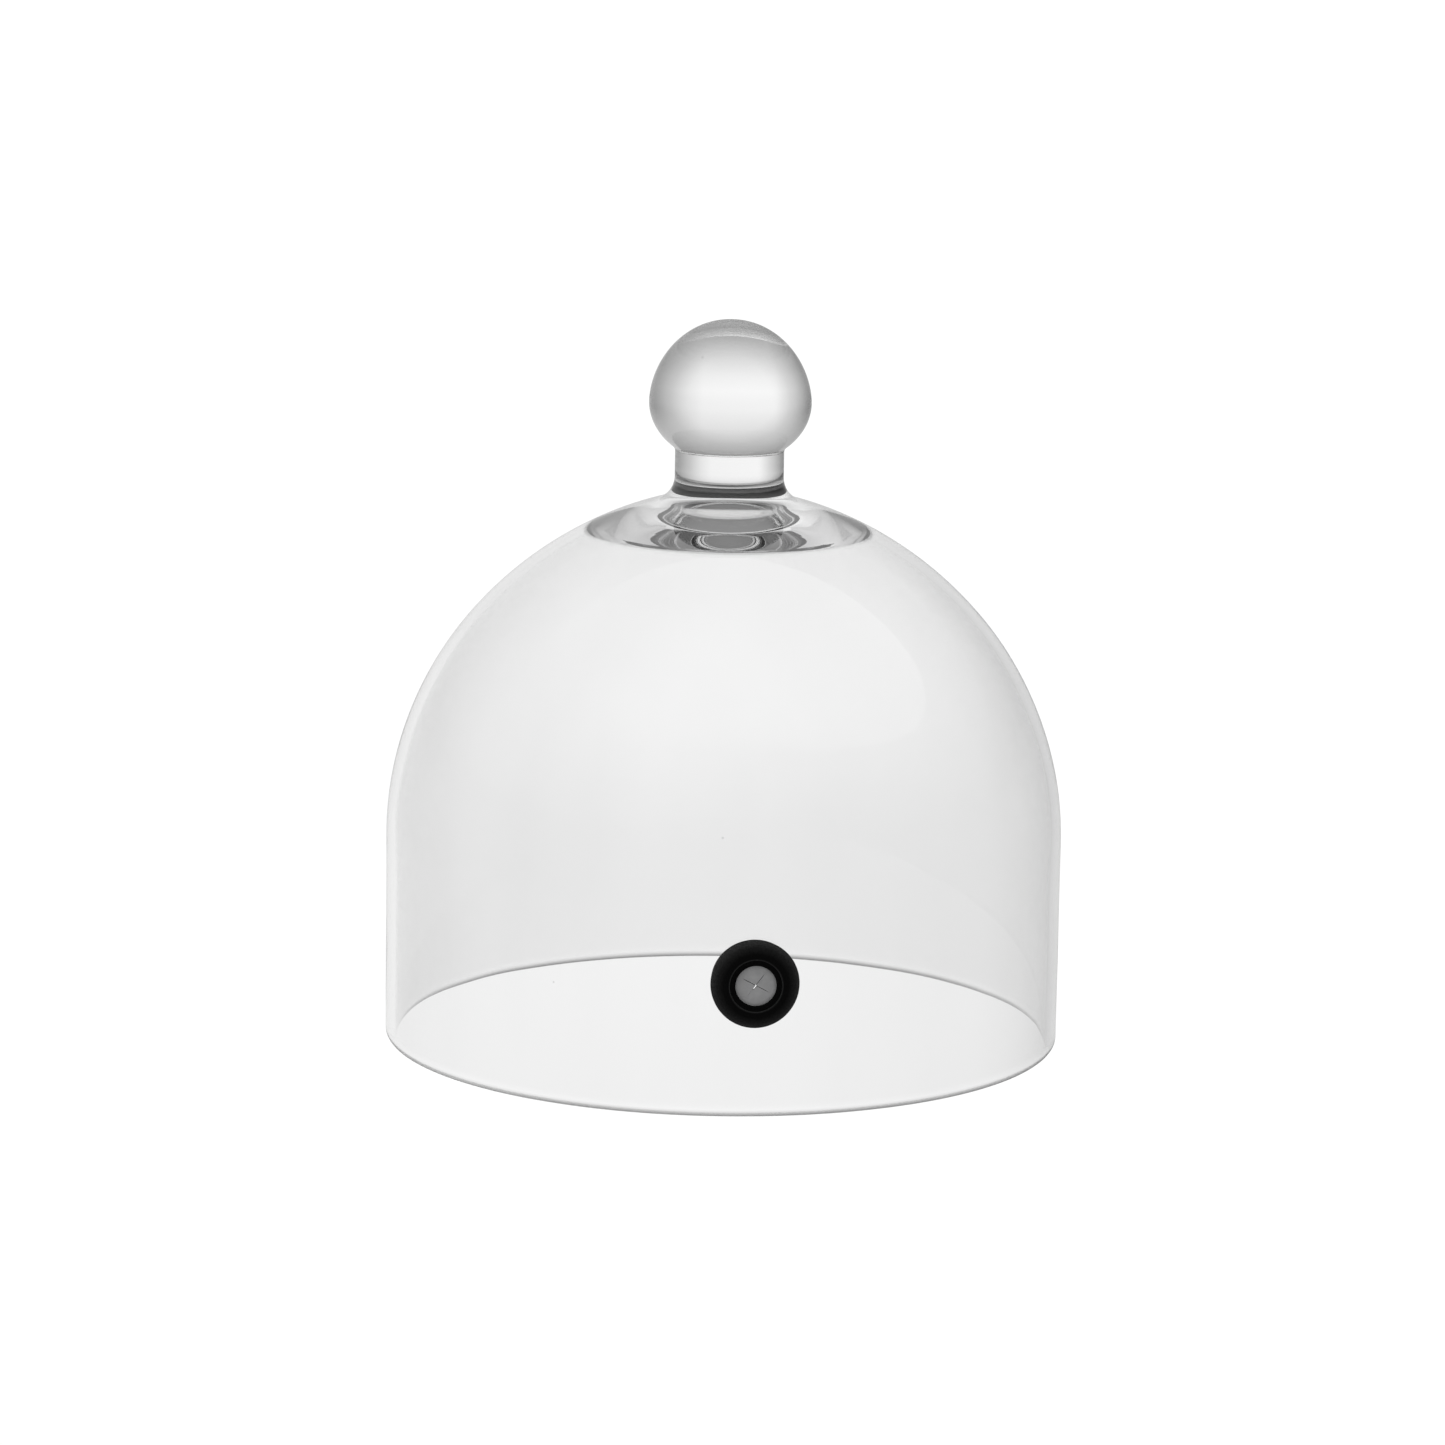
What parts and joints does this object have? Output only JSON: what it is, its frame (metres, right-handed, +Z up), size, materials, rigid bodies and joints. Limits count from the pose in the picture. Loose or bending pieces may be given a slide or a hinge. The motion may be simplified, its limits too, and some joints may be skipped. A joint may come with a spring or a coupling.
{
  "type": "cheese dome",
  "caption": "Clear blown-glass dome with a solid ball knob on a short neck and a round rubber smoke valve with four sprung flaps low in its side.",
  "frame": {"origin": "on the dome's axis, in the plane of the rim that it stands on", "axes": "+Z up along the dome's axis to the knob, -Y from the axis towards the valve, +X to the right as the valve is faced"},
  "size_m": [0.2, 0.2033, 0.2136],
  "materials": {
    "clear_glass": "clear, fire-polished, hand blown",
    "black_rubber": "matte black moulded rubber, finely speckled",
    "black_ring": "smooth black",
    "grey_silicone": "matte mid-grey silicone"
  },
  "bodies": {
    "dome": {"glass_dome": "clear_glass", "glass_knob": "clear_glass", "valve_grommet": "black_rubber", "valve_retaining_ring": "black_ring", "valve_membrane": "grey_silicone"},
    "flap_1": {"membrane_flap_1": "grey_silicone"},
    "flap_2": {"membrane_flap_2": "grey_silicone"},
    "flap_3": {"membrane_flap_3": "grey_silicone"},
    "flap_4": {"membrane_flap_4": "grey_silicone"}
  },
  "joints": [
    {"name": "flap_1_bend", "type": "hinge", "parent": "dome", "child": "flap_1", "pos_m": [0.00277, -0.10172, 0.03941], "axis": [0.2164, 0, -0.9763], "range_deg": [-60, 75], "stiffness_Nm_per_rad": 0.0004},
    {"name": "flap_2_bend", "type": "hinge", "parent": "dome", "child": "flap_2", "pos_m": [-0.0005, -0.10172, 0.04106], "axis": [0.9763, 0, 0.2164], "range_deg": [-60, 75], "stiffness_Nm_per_rad": 0.0004},
    {"name": "flap_3_bend", "type": "hinge", "parent": "dome", "child": "flap_3", "pos_m": [-0.00277, -0.10172, 0.03819], "axis": [-0.2164, 0, 0.9763], "range_deg": [-60, 75], "stiffness_Nm_per_rad": 0.0004},
    {"name": "flap_4_bend", "type": "hinge", "parent": "dome", "child": "flap_4", "pos_m": [0.0005, -0.10172, 0.03654], "axis": [-0.9763, 0, -0.2164], "range_deg": [-60, 75], "stiffness_Nm_per_rad": 0.0004}
  ]
}
